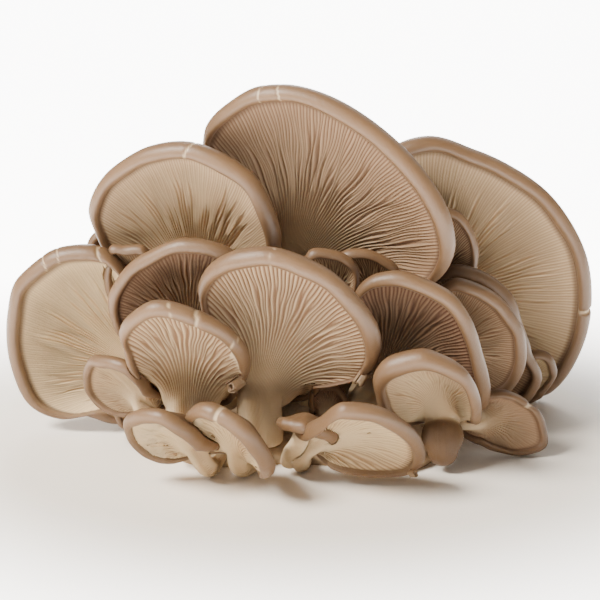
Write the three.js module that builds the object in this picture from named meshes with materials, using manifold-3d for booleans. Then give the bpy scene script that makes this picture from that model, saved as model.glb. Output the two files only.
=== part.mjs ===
// A cluster of oyster mushrooms, cut from its block as one bunch. Every mushroom is a cap, its gills and its
// stem grown in one piece, and the stems stand in one shared base. Millimetres, +Z up. The cluster stands on
// the flat cut face of the base, with the gill sides of the caps towards -Y and the cap tops towards +Y.
import * as THREE from 'three';
import Module from 'manifold-3d';

const GAP = 0.35; // clear distance kept between two mushrooms that press on each other
const SLEEVE_SIDES = 6; // flat sides of the hole that a stem stands in

const BOWL = 30; // degrees that the gills and the cap top rise towards the margin
const SLIM_ROLL = 1.6; // radius of the rolled rim at the stem side
const SLIM_CURL = 70; // degrees that the rim curls in at the stem side
const GILL_END = 0.45; // share of the rim's radius at which the gills meet the rim
const GILL_START = 0.35; // share of a gill's length over which it still runs the stem's way
const GILL_FINISH = 0.4; // share of a gill's length over which it already runs the margin's way
const GILL_ROOM = 0.6; // most height of a gill, against the distance to the gills beside it
const GILL_SLIMNESS = 12; // least length of a gill, against its height
const CAP_DOME = 0.35; // share of the cap top's length that rises straight from the rim
const STEM_PULL = 0.36; // share of the stem's length over which it still runs the root's way
const STEM_TIP = 0.4; // length of the point under the foot, against the foot's radius
const MARGIN_WEIGHT = 0.8; // how evenly the columns stand round a cap, 0 for evenly along its margin
const MARGIN_BLEND = 2; // millimetres over which the margin eases into its least reach

const SKIN = new THREE.Color(0.55, 0.45, 0.37);
const FLESH = new THREE.Color(0.86, 0.8, 0.68);

// Three sizes of mushroom. Each gives:
// - columns round the cap, and rows along the stem, the gills, the rim and the cap top;
// - the height of a gill, the radius of the rolled rim and the degrees that it curls in (curl);
// - the flesh over the hub, the radius of the collar where the gills start, its distance down the stem
//   (neck), the radius of the foot, and how much the stem is swollen half way up (belly);
// - the degrees between the stem and the way the cap faces (slope), and how strongly the stem leaves its
//   root upwards (upwards, below 0 for a stem that droops first);
// - how far the margin stands out from the collar at least, in rim radii (clear);
// - how far it stands out of the hub's plane at the cap's long side (cup) and at its stem side (heel), and
//   how early it falls from the one to the other (fall).
const LARGE = {
  columns: 24, stemRows: 3, gillRows: 3, rimRows: 3, topRows: 3, gillHeight: 1.6, roll: 4.4, curl: 118,
  flesh: 10, collar: 8.5, neck: 11, foot: 8.5, belly: 0, slope: 62, upwards: 1, clear: 2.6, cup: 16,
  heel: -11, fall: 2,
};
const MEDIUM = {
  columns: 17, stemRows: 3, gillRows: 3, rimRows: 3, topRows: 2, gillHeight: 1.3, roll: 3.6, curl: 118,
  flesh: 8, collar: 6, neck: 8, foot: 6, belly: 0, slope: 60, upwards: 1, clear: 2.6, cup: 12,
  heel: -9, fall: 2,
};
const SMALL = {
  columns: 11, stemRows: 2, gillRows: 2, rimRows: 2, topRows: 2, gillHeight: 1, roll: 2.8, curl: 112,
  flesh: 5, collar: 3.6, neck: 4.5, foot: 3.8, belly: 0, slope: 55, upwards: 1, clear: 2, cup: 7,
  heel: -7, fall: 2,
};

// Each mushroom: its size, the hub where the stem meets the cap, the way its gill side faces (turn to the
// right, tilt upwards, lean of the cap's long side to the right, in degrees), the root of its stem in the
// base, and the reach of the margin from the hub at angles round the cap, 0 at the cap's long side and
// positive to the right as seen from the gill side. Values that differ from its size follow.
const MUSHROOMS = {
  cap_torn_front: {
    ...SMALL, hub: [-39.5, -54, 16.6], face: [-30, -32, -35], root: [-30, -34, 4.5], foot: 3, roll: 3.2,
    flesh: 8, slope: 72, upwards: -0.9, clear: 1.3, heel: -5, stemRows: 3,
    reach: [[-90, 12], [-60, 17], [-30, 22], [0, 25], [30, 25], [60, 20], [90, 14], [180, 8]],
  },
  cap_folded_front: {
    ...SMALL, hub: [-23, -55, 15], face: [-38, -28, 10], root: [-16, -34, 4.5], foot: 3.4, roll: 3.6,
    flesh: 8, slope: 80, upwards: -0.6, clear: 1.3, heel: -5, stemRows: 3,
    reach: [[-90, 12], [-50, 19], [-25, 25], [0, 30], [20, 30], [45, 27], [70, 23], [95, 18], [135, 12],
      [180, 8], [240, 9]],
  },
  cap_button_front: {
    ...SMALL, hub: [2, -54, 24], face: [-20, -58, 50], root: [-4, -42, 4.5], roll: 2.6, curl: 100, flesh: 4,
    collar: 3, foot: 3.2, neck: 4, slope: 15, cup: 3, heel: 0,
    reach: [[-90, 10], [0, 9], [60, 12], [90, 13], [150, 10], [240, 10]],
  },
  cap_fan_front: {
    ...SMALL, hub: [7, -52, 16.5], face: [0, -36, 62], root: [0, -33, 4], foot: 3.4, columns: 16, roll: 3.4,
    slope: 72, upwards: -0.9, clear: 1.3, heel: -7, stemRows: 3,
    reach: [[-90, 14], [-62, 22], [-47, 33], [-25, 36], [0, 37], [23, 38], [38, 36], [50, 26], [62, 16],
      [90, 10], [180, 8], [230, 10]],
  },
  cap_low_right: {
    ...MEDIUM, hub: [52, -33, 23], face: [-8, -22, -5], root: [52.5, -39, 7.5], foot: 5.5, collar: 5.5,
    neck: 5, slope: 66, belly: 1.6,
    reach: [[-80, 19], [-52, 27], [-38, 34], [-25, 37], [-7, 37], [3, 34], [22, 28], [35, 23], [50, 19],
      [69, 16], [90, 13], [120, 12], [180, 12], [230, 13]],
  },
  cap_left_front: {
    ...MEDIUM, hub: [-41, -28, 31], face: [-10, -22, 0], root: [-41, -34, 9], foot: 8, collar: 8,
    neck: 10, fall: 1,
    reach: [[-80, 17], [-55, 24], [-39, 31], [-33, 37], [-20, 43], [-6, 47], [7, 45], [22, 42], [38, 38],
      [54, 32], [71, 25], [90, 19], [120, 13], [180, 10], [240, 12]],
  },
  cap_centre: {
    ...LARGE, hub: [-11, -22, 35], face: [-12, -12, 18], root: [-14, -29, 9], foot: 7.5, collar: 8,
    fall: 1, gillRows: 4,
    reach: [[-90, 17], [-70, 25], [-54, 37], [-47, 45], [-35, 52], [-23, 56], [-8, 58], [7, 57], [23, 54],
      [40, 51], [54, 46], [66, 38], [75, 28], [90, 19], [130, 12], [180, 11], [230, 12]],
  },
  cap_left_low: {
    ...SMALL, hub: [-60, -21, 23], face: [-40, -24, -45], root: [-48, -20, 7], columns: 14, flesh: 7,
    reach: [[-70, 14], [-30, 20], [0, 22], [30, 24], [60, 24], [80, 20], [100, 13], [130, 9], [180, 8],
      [240, 9]],
  },
  cap_dark_bud: {
    ...SMALL, hub: [11, -18, 18], face: [0, -14, 0], root: [8, -20, 7], roll: 2, collar: 3, foot: 3, neck: 4,
    cup: 3, heel: -5, reach: [[-90, 6], [-50, 10], [-26, 13], [8, 12], [42, 9], [90, 6], [180, 5]],
  },
  cap_right_low: {
    ...SMALL, hub: [69, -22, 15], face: [12, 8, 92], root: [46, -10, 7], cup: 3, stemRows: 3,
    reach: [[-90, 10], [-45, 14], [-22, 17], [-5, 21], [10, 24], [24, 26], [40, 22], [60, 16], [80, 12],
      [110, 9], [180, 8], [230, 9]],
  },
  cap_left_mid: {
    ...MEDIUM, hub: [-42, -4, 44], face: [-12, -12, -20], root: [-28, -6, 9],
    reach: [[-110, 15], [-85, 19], [-72, 23], [-52, 28], [-33, 33], [-14, 36], [7, 40], [28, 45], [45, 46],
      [60, 43], [80, 32], [100, 22], [140, 12], [180, 10], [220, 12]],
  },
  cap_left_sliver: {
    ...SMALL, hub: [-57, 9, 53.5], face: [-10, -8, -25], root: [-36, 8, 8], flesh: 4, cup: 5, heel: -5,
    reach: [[-110, 9], [-60, 16], [-16, 23], [-6, 26], [5, 24], [21, 23], [40, 16], [90, 10], [180, 7]],
  },
  cap_mid_bud: {
    ...SMALL, hub: [13, -7, 57.5], face: [0, -6, 10], root: [2, -6, 9], flesh: 4, cup: 5, heel: -5,
    reach: [[-90, 12], [-44, 21], [-32, 23], [-13, 21], [7, 19], [26, 15], [45, 11], [90, 8], [180, 7]],
  },
  cap_right_mid: {
    ...MEDIUM, hub: [32, -6, 29], face: [-14, -14, 28], root: [20, -12, 9], columns: 20,
    reach: [[-100, 16], [-65, 24], [-45, 32], [-35, 43], [-26, 48], [-12, 51], [3, 51], [20, 48], [42, 43],
      [64, 42], [85, 40], [98, 33], [120, 20], [150, 13], [180, 11], [210, 13]],
  },
  cap_mid_sliver: {
    ...SMALL, hub: [28, 0, 55], face: [0, -6, 10], root: [12, 2, 9], columns: 12, flesh: 4, cup: 5, heel: -5,
    reach: [[-90, 10], [-60, 15], [-39, 24], [-24, 23], [-4, 20], [21, 17], [60, 12], [180, 7]],
  },
  cap_right: {
    ...MEDIUM, hub: [54, 9, 32.5], face: [0, -6, 60], root: [37, 5, 9],
    reach: [[-90, 16], [-66, 28], [-50, 34], [-29, 34], [10, 33], [33, 32], [54, 30], [70, 25], [90, 18],
      [120, 12], [180, 9], [230, 11]],
  },
  cap_far_left: {
    ...LARGE, hub: [-58, 15, 19], face: [-10, 0, -55], root: [-34, 8, 6], foot: 7, collar: 7, neck: 9,
    slope: 75, upwards: 0.2,
    reach: [[-110, 17], [-85, 21], [-64, 26], [-58, 36], [-44, 47], [-29, 52], [-6, 60], [7, 64], [20, 64],
      [32, 61], [41, 57], [50, 46], [62, 36], [80, 26], [110, 18], [150, 16], [180, 16], [210, 16]],
  },
  cap_upper_left: {
    ...LARGE, hub: [-40, 20, 56.5], face: [-22, -8, -20], root: [-22, 10, 10],
    reach: [[-110, 18], [-80, 21], [-54, 28], [-40, 36], [-33, 42], [-26, 49], [-13, 54], [0, 57],
      [14, 61], [32, 64], [51, 62], [65, 56], [81, 47], [100, 32], [130, 18], [160, 14], [180, 13],
      [210, 14]],
  },
  cap_top: {
    ...LARGE, columns: 25, hub: [-3, 26, 59.5], face: [-22, -8, 10], root: [-3, 12, 10],
    reach: [[-110, 18], [-80, 26], [-55, 44], [-36, 61], [-31, 68], [-21, 74.5], [-11, 80], [0, 82],
      [17, 81], [37, 80], [51, 79], [61, 76], [69, 70], [78, 58], [90, 42], [110, 27], [130, 19],
      [160, 15], [180, 14], [210, 15]],
  },
  cap_crescent: {
    ...SMALL, hub: [49, 25, 53.5], face: [0, -4, 60], root: [20, 18, 9], columns: 18, flesh: 5,
    cup: 4, neck: 3, heel: -5,
    reach: [[-155, 15], [-125, 22], [-95, 29], [-75, 33], [-59, 34], [-42, 34], [-27, 31], [-9, 26],
      [5, 22], [35, 16], [75, 11], [145, 10], [180, 12]],
  },
  cap_right_behind: {
    ...MEDIUM, hub: [55, 24, 29.5], face: [0, -4, 50], root: [36, 14, 9], flesh: 10,
    reach: [[-90, 14], [-64, 26], [-50, 36], [-38, 38], [-7, 37], [17, 34], [37, 35], [56, 41], [68, 41],
      [80, 34], [100, 22], [130, 13], [180, 9], [230, 10]],
  },
  cap_foot_lobe: {
    ...SMALL, hub: [-61, -4, 12], face: [0, -6, -60], root: [-46, -6, 6], roll: 2, collar: 3, neck: 4,
    cup: 3, heel: -5, reach: [[-110, 8], [-65, 10], [-22, 10], [1, 12], [40, 12], [90, 8], [180, 6]],
  },
  cap_pale_bud: {
    ...SMALL, hub: [88, 28, 12.5], face: [5, -4, 60], root: [52, 18, 7], cup: 4,
    reach: [[-100, 8], [-50, 15], [-25, 17], [3, 15], [25, 12], [50, 9], [100, 7], [180, 6]],
  },
  cap_top_behind: {
    ...LARGE, hub: [11, 55, 60.5], face: [0, -2, 15], root: [5, 27, 10], columns: 22,
    reach: [[-90, 32], [-50, 54], [-39, 62], [-26, 65], [-7, 61], [8, 55], [22, 43], [50, 28], [90, 19],
      [130, 15], [180, 13], [230, 16]],
  },
  cap_far_right: {
    ...LARGE, hub: [50, 46, 39], face: [8, 0, 45], root: [27, 27, 10], columns: 25, flesh: 13,
    reach: [[-95, 34], [-75, 53], [-60, 70], [-47, 73], [-31, 69], [-8, 67], [20, 66.5], [44, 65.5],
      [68, 64], [79, 62], [88, 56], [100, 44], [120, 31], [150, 19], [180, 14], [210, 16], [240, 23]],
  },
  cap_back_left: {
    ...SMALL, hub: [-67, 36, 56.5], face: [-10, 0, -50], root: [-32, 22, 9], foot: 4.6,
    reach: [[-110, 8], [-60, 12], [-23, 16], [-8, 19], [14, 21], [60, 16], [110, 8], [180, 7]],
  },
};

// The base: its middle on the cut face, the height of its top there, the height at which its side turns
// over and its reach over the cut face, both as [degrees round the base from +X, value], how far its side
// bulges, and the share of the reach that is left where the side has turned over.
const BASE = {
  middle: [-2, -6, 0],
  top: 18,
  columns: 24,
  sideRows: 3,
  shoulder: 0.5,
  height: [[0, 14], [60, 18], [150, 18], [200, 14], [240, 9], [285, 9], [320, 11]],
  bulge: 4,
  reach: [[0, 50], [30, 46], [60, 40], [90, 38], [120, 40], [150, 44], [180, 48], [205, 48], [220, 44],
    [240, 30], [270, 25], [300, 32], [320, 54], [335, 56]],
};

const DEGREE = Math.PI / 180;
const mix = (from, to, t) => from + (to - from) * t;
const turned = (angle) => ((angle % 360) + 360) % 360;

// Reads a value off a closed list of [angle, value] pairs, as one smooth line that never overshoots them.
function readRound(list, angle) {
  const knots = list.map(([at, value]) => [turned(at), value]).sort((a, b) => a[0] - b[0]);
  const knot = (i) => {
    const turns = Math.floor(i / knots.length);
    const [at, value] = knots[i - turns * knots.length];
    return [at + 360 * turns, value];
  };
  const steepness = (i) => {
    const [before, here, after] = [knot(i - 1), knot(i), knot(i + 1)];
    const left = (here[1] - before[1]) / (here[0] - before[0]);
    const right = (after[1] - here[1]) / (after[0] - here[0]);
    return left * right <= 0 ? 0 : (2 * left * right) / (left + right);
  };
  let i = -1;
  while (knot(i + 1)[0] <= turned(angle)) i += 1;
  const [from, to] = [knot(i), knot(i + 1)];
  const span = to[0] - from[0];
  const t = (turned(angle) - from[0]) / span;
  const straight = mix(from[1], to[1], t * t * (3 - 2 * t));
  return straight + span * t * (1 - t) * (steepness(i) * (1 - t) - steepness(i + 1) * t);
}

// The axes of a cap: out of the gill side, along the cap's long side, and across it to the right.
function capAxes(face) {
  const [turn, tilt, lean] = face.map((angle) => angle * DEGREE);
  const ahead = new THREE.Vector3(Math.sin(turn), -Math.cos(turn), 0);
  const out = ahead.multiplyScalar(Math.cos(tilt)).setZ(Math.sin(tilt));
  const level = new THREE.Vector3(Math.cos(turn), Math.sin(turn), 0);
  const up = new THREE.Vector3().crossVectors(out, level);
  const along = up.clone().multiplyScalar(Math.cos(lean)).addScaledVector(level, Math.sin(lean));
  const across = level.clone().multiplyScalar(Math.cos(lean)).addScaledVector(up, -Math.sin(lean));
  return { out, along, across };
}

// How far round a column is from the stem side (0) towards the cap's long side (1).
const farShare = (angle) => 0.5 + 0.5 * Math.cos(angle * DEGREE);

// The radius of the rolled rim, which is slimmer on the stem side.
function rollAt(m, angle) {
  return mix(Math.min(SLIM_ROLL, m.roll), m.roll, Math.min(1, 2 * farShare(angle)));
}

// The reach of the margin, which stands clear of the collar however short the cap is on that side.
function reachAt(m, angle) {
  const wanted = readRound(m.reach, angle);
  const stemSide = Math.max(0, -Math.cos(angle * DEGREE));
  const slope = m.slope * DEGREE;
  const setBack = m.neck * Math.sin(slope) - m.collar * (1 - Math.cos(0.5 * slope));
  const collar = Math.max(0, m.collar + stemSide * setBack);
  const least = collar + m.clear * rollAt(m, angle);
  return 0.5 * (wanted + least + Math.hypot(wanted - least, MARGIN_BLEND));
}

// The angles of the columns round a cap, closer together where the margin is long.
function columnAngles(m, count) {
  const mean = m.reach.reduce((sum, pair) => sum + pair[1], 0) / m.reach.length;
  const total = [0];
  for (let degree = 0; degree < 360; degree += 1) {
    total.push(total[degree] + reachAt(m, degree) + MARGIN_WEIGHT * mean);
  }
  let degree = 0;
  return Array.from({ length: count }, (_, column) => {
    const wanted = (total[360] * column) / count;
    while (total[degree + 1] <= wanted) degree += 1;
    return degree + (wanted - total[degree]) / (total[degree + 1] - total[degree]);
  });
}

// The way the stem runs into the cap.
function growthAxis(m) {
  const { out, along } = capAxes(m.face);
  return along.multiplyScalar(Math.sin(m.slope * DEGREE)).addScaledVector(out, -Math.cos(m.slope * DEGREE));
}

// The way the stem leaves its root: partly upwards and partly straight towards the hub.
function rootWay(m) {
  const straight = new THREE.Vector3(...m.hub).sub(new THREE.Vector3(...m.root)).normalize();
  return straight.add(new THREE.Vector3(0, 0, m.upwards)).normalize();
}

// The middles, turns and radii of the stem's rings, on a curve from the root up to the collar.
function stemRings(m) {
  const { out } = capAxes(m.face);
  const growth = growthAxis(m);
  const collar = new THREE.Vector3(...m.hub).addScaledVector(growth, -m.neck);
  const root = new THREE.Vector3(...m.root);
  const pull = STEM_PULL * root.distanceTo(collar);
  const path = new THREE.CubicBezierCurve3(
    root,
    root.clone().addScaledVector(rootWay(m), pull),
    collar.clone().addScaledVector(growth, -pull),
    collar,
  );
  const turn = new THREE.Quaternion();
  const rings = [];
  let heading = out.negate();
  for (let row = m.stemRows; row >= 0; row -= 1) {
    const t = row / m.stemRows;
    const next = path.getTangent(t).addScaledVector(out, t ** 3).normalize();
    turn.premultiply(new THREE.Quaternion().setFromUnitVectors(heading, next));
    heading = next;
    const radius = mix(m.foot, m.collar, t * t * (3 - 2 * t)) + m.belly * Math.sin(Math.PI * t);
    rings.unshift({ middle: path.getPoint(t), turn: turn.clone(), radius });
  }
  return rings;
}

const onRing = (ring, direction, radius) =>
  direction.clone().applyQuaternion(ring.turn).multiplyScalar(radius).add(ring.middle);

// The point under the foot that closes the stem, or its sleeve, off.
const stemTip = (m, clear) =>
  new THREE.Vector3(...m.root).addScaledVector(rootWay(m), -STEM_TIP * m.foot - clear);

// The plain hole that a stem stands in, with a few flat sides that clear it.
function sleeveRows(m) {
  const { along, across } = capAxes(m.face);
  const corners = Array.from({ length: SLEEVE_SIDES }, (_, i) => (2 * Math.PI * i) / SLEEVE_SIDES);
  const flare = 1 / Math.cos(Math.PI / SLEEVE_SIDES);
  const rows = stemRings(m).map((ring) =>
    corners.map((corner) => {
      const direction = along.clone().multiplyScalar(Math.cos(corner));
      direction.addScaledVector(across, Math.sin(corner));
      return onRing(ring, direction, (ring.radius + GAP) * flare);
    }),
  );
  return [[stemTip(m, 2 * GAP)], ...rows, [new THREE.Vector3(...m.hub)]];
}

// The points of one mushroom in rows, from the root of the stem over the gills, the rim and the cap top.
// Gill rows have two points for each column, the first on a gill's edge and the second between two gills,
// where the surface lies in (-1) by the gill's height or is filled up to the gill's edge (1).
function mushroomRows(m, between = -1) {
  const hub = new THREE.Vector3(...m.hub);
  const { out, along, across } = capAxes(m.face);
  const growth = growthAxis(m);
  const fineAngles = columnAngles(m, 2 * m.columns);
  const angles = fineAngles.filter((_, i) => i % 2 === 0);

  const ray = (angle) =>
    along.clone().multiplyScalar(Math.cos(angle * DEGREE)).addScaledVector(across, Math.sin(angle * DEGREE));
  const rise = (angle) => BOWL * DEGREE * farShare(angle);
  const rising = (angle) =>
    ray(angle).multiplyScalar(Math.cos(rise(angle))).addScaledVector(out, Math.sin(rise(angle)));
  const curlAt = (angle) => mix(SLIM_CURL, m.curl, Math.min(1, 1.5 * farShare(angle)));
  const standing = (angle) => mix(m.heel, m.cup, 1 - (1 - farShare(angle)) ** m.fall);
  const onRim = (angle, around, share) => {
    const roll = rollAt(m, angle);
    const sideways = reachAt(m, angle) - roll + share * roll * Math.cos(around * DEGREE);
    const outwards = standing(angle) + share * roll * Math.sin(around * DEGREE);
    return hub.clone().addScaledVector(ray(angle), sideways).addScaledVector(out, outwards);
  };

  const rows = stemRings(m).map((ring, row) =>
    (row === m.stemRows ? fineAngles : angles).map((angle) => onRing(ring, ray(angle), ring.radius)),
  );
  const collar = rows[m.stemRows];

  // The gills sweep from the collar out to the curl of the rim.
  const leaving = (angle) => ray(angle).lerp(growth, farShare(angle)).normalize();
  const edges = fineAngles.map((angle) => onRim(angle, curlAt(angle), GILL_END));
  const lengths = edges.map((edge, i) => edge.distanceTo(collar[i]));
  const sweeps = edges.map((edge, i) => new THREE.CubicBezierCurve3(
    collar[i],
    collar[i].clone().addScaledVector(leaving(fineAngles[i]), GILL_START * lengths[i]),
    edge.clone().addScaledVector(rising(fineAngles[i]), -GILL_FINISH * lengths[i]),
    edge,
  ));
  for (let row = 1; row <= m.gillRows; row += 1) {
    const t = row / m.gillRows;
    const smooth = sweeps.map((sweep) => sweep.getPoint(t));
    const gillRow = smooth.map((point, i) => {
      const before = smooth[(i + smooth.length - 1) % smooth.length];
      const beside = smooth[(i + 1) % smooth.length].clone().sub(before);
      const most = Math.min(m.gillHeight, GILL_ROOM * beside.length(), lengths[i] / GILL_SLIMNESS);
      const height = 0.5 * most * (1 - t ** 6);
      const normal = sweeps[i].getTangent(t).cross(beside).normalize().negate();
      return point.clone().addScaledVector(normal, i % 2 === 0 ? height : between * height);
    });
    rows.push(gillRow);
  }

  // The rim rolls over from the gills to the cap top, which closes over the hub.
  for (let row = 0; row <= m.rimRows; row += 1) {
    const t = row / m.rimRows;
    rows.push(angles.map((angle) => onRim(angle, mix(curlAt(angle), rise(angle) / DEGREE - 90, t), 1)));
  }
  const crown = hub.clone().addScaledVector(out, -m.flesh);
  const back = rows[rows.length - 1];
  const domes = angles.map((angle, i) => {
    const length = back[i].distanceTo(crown);
    return new THREE.CubicBezierCurve3(
      back[i],
      back[i].clone().addScaledVector(rising(angle), -CAP_DOME * length),
      crown.clone().addScaledVector(ray(angle), CAP_DOME * length),
      crown,
    );
  });
  for (let row = 1; row < m.topRows; row += 1) {
    rows.push(domes.map((dome) => dome.getPoint(row / m.topRows)));
  }
  return [[stemTip(m, 0)], ...rows, [crown]];
}

// The points of the base in rows, from the middle of the cut face round its edge and over to the top.
function baseRows(base) {
  const middle = new THREE.Vector3(...base.middle);
  const angles = Array.from({ length: base.columns }, (_, i) => (360 * i) / base.columns);
  const ring = (share, height, proud) =>
    angles.map((angle) => {
      const reach = share * (readRound(base.reach, angle) + proud);
      const [x, y] = [reach * Math.cos(angle * DEGREE), reach * Math.sin(angle * DEGREE)];
      return middle.clone().add(new THREE.Vector3(x, y, height * readRound(base.height, angle)));
    });
  const rows = [[middle.clone()], ring(0.5, 0, 0), ring(1, 0, 0)];
  for (let row = 1; row <= base.sideRows; row += 1) {
    const t = row / base.sideRows;
    const lean = t * 90 * DEGREE;
    const share = mix(1, base.shoulder, 1 - Math.cos(lean));
    rows.push(ring(share, Math.sin(lean), base.bulge * Math.sin(2 * lean)));
  }
  return [...rows, [middle.clone().setZ(base.top)]];
}

// Joins rows of points into one closed surface. A row may have one point, or twice the points of the next.
function closeRows(rows) {
  const starts = [];
  const points = [];
  for (const row of rows) {
    starts.push(points.length);
    points.push(...row);
  }
  const triangles = [];
  const face = (...corners) => triangles.push(...corners);
  for (let r = 0; r + 1 < rows.length; r += 1) {
    const [low, high] = [rows[r].length, rows[r + 1].length];
    const at = (i) => starts[r] + (i % low);
    const above = (i) => starts[r + 1] + (i % high);
    const steps = Math.min(low, high) === 1 ? Math.max(low, high) : Math.min(low, high);
    for (let i = 0; i < steps; i += 1) {
      if (low === 1) {
        face(at(0), above(i + 1), above(i));
      } else if (high === 1) {
        face(at(i), at(i + 1), above(0));
      } else if (low === high) {
        face(at(i), at(i + 1), above(i + 1));
        face(at(i), above(i + 1), above(i));
      } else if (high === 2 * low) {
        face(at(i), above(2 * i + 1), above(2 * i));
        face(at(i), at(i + 1), above(2 * i + 1));
        face(at(i + 1), above(2 * i + 2), above(2 * i + 1));
      } else {
        face(above(i), at(2 * i), at(2 * i + 1));
        face(above(i), at(2 * i + 1), above(i + 1));
        face(above(i + 1), at(2 * i + 1), at(2 * i + 2));
      }
    }
  }
  return { points, triangles };
}

const signedVolume = ({ points, triangles }) => {
  let volume = 0;
  for (let i = 0; i < triangles.length; i += 3) {
    const [a, b, c] = [0, 1, 2].map((k) => points[triangles[i + k]]);
    volume += a.dot(b.clone().cross(c)) / 6;
  }
  return volume;
};

// Turns the faces outwards where the rows ran the other way round.
function facingOut(surface) {
  if (signedVolume(surface) > 0) return surface;
  const triangles = [];
  for (let i = 0; i < surface.triangles.length; i += 3) {
    triangles.push(surface.triangles[i], surface.triangles[i + 2], surface.triangles[i + 1]);
  }
  return { points: surface.points, triangles };
}

// The same surface pushed out all over, which is what a neighbour is cut back to.
function swollen({ points, triangles }, distance) {
  const normals = points.map(() => new THREE.Vector3());
  for (let i = 0; i < triangles.length; i += 3) {
    const [a, b, c] = [0, 1, 2].map((k) => points[triangles[i + k]]);
    const normal = b.clone().sub(a).cross(c.clone().sub(a));
    [0, 1, 2].forEach((k) => normals[triangles[i + k]].add(normal));
  }
  const pushed = points.map((point, i) => point.clone().addScaledVector(normals[i].normalize(), distance));
  return { points: pushed, triangles };
}

const wasm = await Module();
wasm.setup();

function solid({ points, triangles }) {
  const vertProperties = new Float32Array(points.flatMap((p) => p.toArray()));
  const triVerts = new Uint32Array(triangles);
  return new wasm.Manifold(new wasm.Mesh({ numProp: 3, vertProperties, triVerts }));
}

// Cuts away what a neighbour already holds and keeps the largest piece of what is left.
function cutBack(body, neighbours) {
  let rest = body;
  for (const neighbour of neighbours) {
    if (rest.intersect(neighbour).isEmpty()) continue;
    const pieces = rest.subtract(neighbour).decompose();
    rest = pieces.sort((a, b) => b.volume() - a.volume())[0];
  }
  return rest;
}

function nodeMesh(name, body, colour) {
  const { vertProperties, triVerts } = body.getMesh();
  const geometry = new THREE.BufferGeometry();
  geometry.setAttribute('position', new THREE.BufferAttribute(Float32Array.from(vertProperties), 3));
  geometry.setIndex(new THREE.BufferAttribute(Uint32Array.from(triVerts), 1));
  geometry.computeVertexNormals();
  const material = new THREE.MeshStandardMaterial({ color: colour, roughness: 0.6, metalness: 0 });
  const mesh = new THREE.Mesh(geometry, material);
  mesh.name = name;
  return mesh;
}

const cluster = new THREE.Group();
const placed = [];
const sleeves = [];
for (const [name, mushroom] of Object.entries(MUSHROOMS)) {
  const surface = facingOut(closeRows(mushroomRows(mushroom)));
  const body = cutBack(solid(surface), placed.flatMap((neighbour) => neighbour.room));
  const filled = facingOut(closeRows(mushroomRows(mushroom, 1)));
  placed.push({ body, room: [solid(swollen(filled, GAP)), body] });
  sleeves.push(solid(facingOut(closeRows(sleeveRows(mushroom)))));
  cluster.add(nodeMesh(name, body, SKIN));
}
const holed = cutBack(solid(facingOut(closeRows(baseRows(BASE)))), sleeves);
const pressing = placed.filter(({ body }) => !holed.intersect(body).isEmpty());
cluster.add(nodeMesh('butt', cutBack(holed, pressing.flatMap((neighbour) => neighbour.room)), FLESH));

export default cluster;
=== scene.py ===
import math

import bpy
import numpy as np
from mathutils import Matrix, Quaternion, Vector
from mathutils.kdtree import KDTree


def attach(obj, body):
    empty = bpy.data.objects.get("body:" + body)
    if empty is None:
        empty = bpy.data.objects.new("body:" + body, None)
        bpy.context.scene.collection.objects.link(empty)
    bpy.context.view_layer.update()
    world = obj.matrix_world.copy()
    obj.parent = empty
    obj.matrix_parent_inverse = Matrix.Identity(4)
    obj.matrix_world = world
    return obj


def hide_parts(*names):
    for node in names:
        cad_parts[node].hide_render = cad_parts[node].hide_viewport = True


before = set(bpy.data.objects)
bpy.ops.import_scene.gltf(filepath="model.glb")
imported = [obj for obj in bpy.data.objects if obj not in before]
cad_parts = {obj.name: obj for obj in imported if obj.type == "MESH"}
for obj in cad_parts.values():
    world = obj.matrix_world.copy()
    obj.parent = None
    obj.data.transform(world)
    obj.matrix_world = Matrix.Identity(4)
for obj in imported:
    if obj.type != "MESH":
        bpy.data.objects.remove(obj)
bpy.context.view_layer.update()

# ---- Camera: a long lens 0.75 m from the cluster and 16 degrees above it, which looks at the gill sides
# of the caps.
CAMERA_PLACE = (0, -0.7209, 0.2613)
CAMERA_TURN = math.radians(74)  # up from straight down
CAMERA_LENS = 118.4
bpy.ops.object.select_all(action="DESELECT")
bpy.ops.object.camera_add(location=CAMERA_PLACE, rotation=(CAMERA_TURN, 0, 0))
camera = bpy.context.object
camera.data.lens = CAMERA_LENS
camera.data.sensor_width = 36
bpy.context.scene.camera = camera

# ---- Light: a soft box high on the left and a little in front, a broad weaker one in front that fills
# the gills, one high at the back on the right that draws the caps off the backdrop, and a little white
# light from the whole room.
LAMPS = {  # place, aim and side in metres, then watts and colour
    "key_box": ((-0.8, -0.4, 0.9), (0, 0, 0.05), 0.45, 42, (1, 0.96, 0.90)),
    "fill_box": ((-0.3, -1.3, 0.5), (0, 0, 0.05), 0.9, 4.5, (1, 0.97, 0.93)),
    "back_box": ((0.6, 0.7, 0.9), (0, 0, 0.08), 0.8, 5, (1, 1, 1)),
}
ROOM_LIGHT = 0.06
for name, (place, aim, side, watts, colour) in LAMPS.items():
    bpy.ops.object.light_add(type="AREA", location=place)
    lamp = bpy.context.object
    lamp.name = name
    lamp.rotation_euler = (Vector(aim) - Vector(place)).to_track_quat("-Z", "Y").to_euler()
    lamp.data.size = side
    lamp.data.energy = watts
    lamp.data.color = colour
white_room = bpy.data.worlds.new("white_room")
bpy.context.scene.world = white_room
white_room.use_nodes = True
white_room.node_tree.nodes["Background"].inputs["Color"].default_value = (1, 1, 1, 1)
white_room.node_tree.nodes["Background"].inputs["Strength"].default_value = ROOM_LIGHT

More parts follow.
